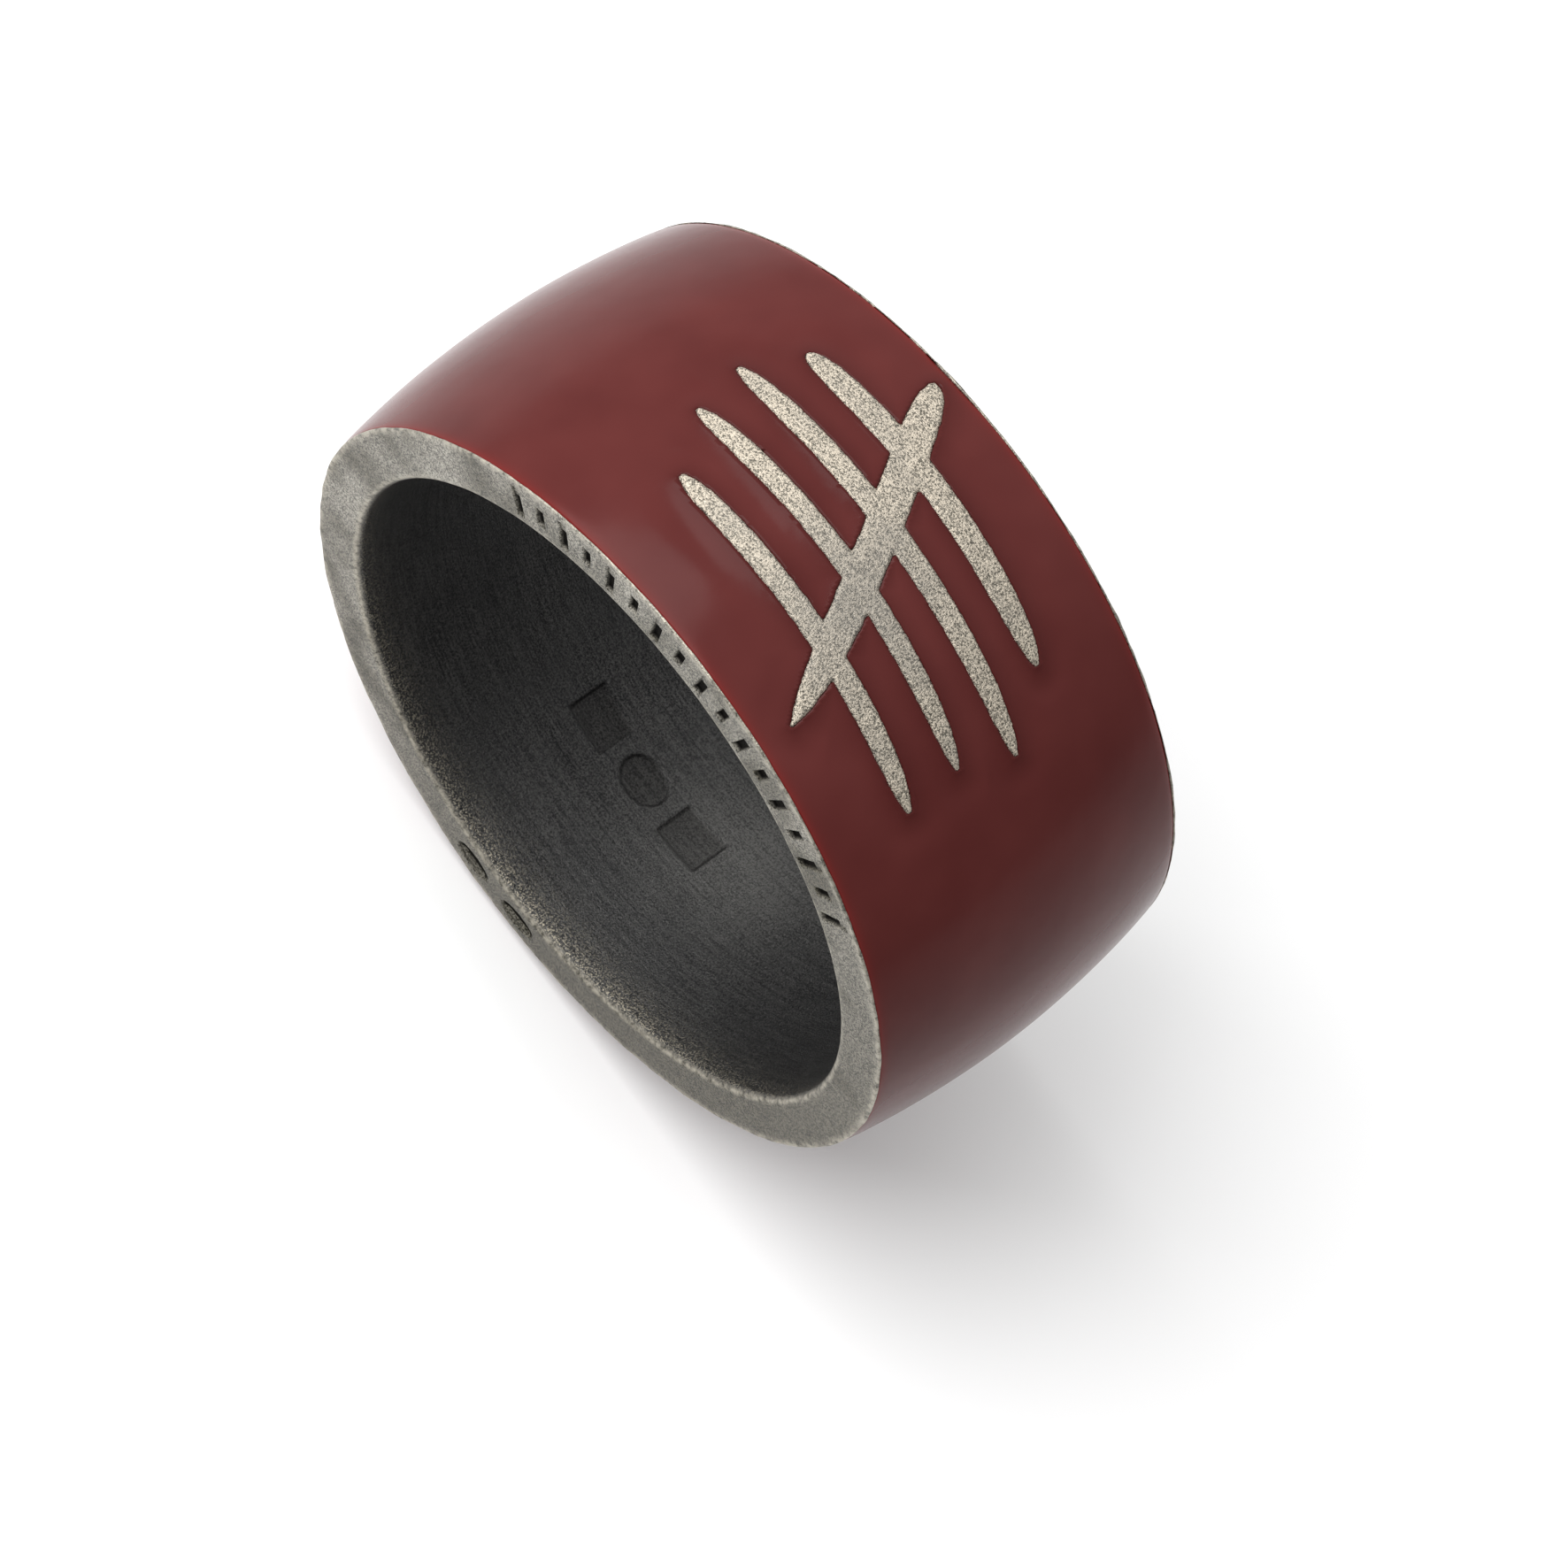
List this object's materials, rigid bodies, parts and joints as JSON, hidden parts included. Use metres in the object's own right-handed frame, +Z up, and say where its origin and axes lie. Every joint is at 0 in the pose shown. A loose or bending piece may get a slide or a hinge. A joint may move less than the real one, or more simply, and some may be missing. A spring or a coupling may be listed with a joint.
{
  "type": "finger ring",
  "caption": "Wide metal band ring with a glossy enamel field and a raised tally mark of strokes and a slash, worn on a finger.",
  "frame": {"origin": "under the middle of the ring, at the level of the small flat that it stands on", "axes": "+Z up from the standing flat to the tally, Y along the finger hole with the engraved rim facing -Y, X across the ring"},
  "size_m": [0.0244, 0.0108, 0.0243],
  "materials": {
    "blasted_silver": "sand-blasted and darkened silver, near black inside the finger hole, worn bright on the edges",
    "tally_silver": "pale, coarse-grained blasted silver",
    "red_enamel": "glossy opaque dark red enamel"
  },
  "bodies": {
    "root": {"silver_band": "blasted_silver", "tally_relief": "tally_silver", "enamel_field": "red_enamel"}
  },
  "joints": []
}
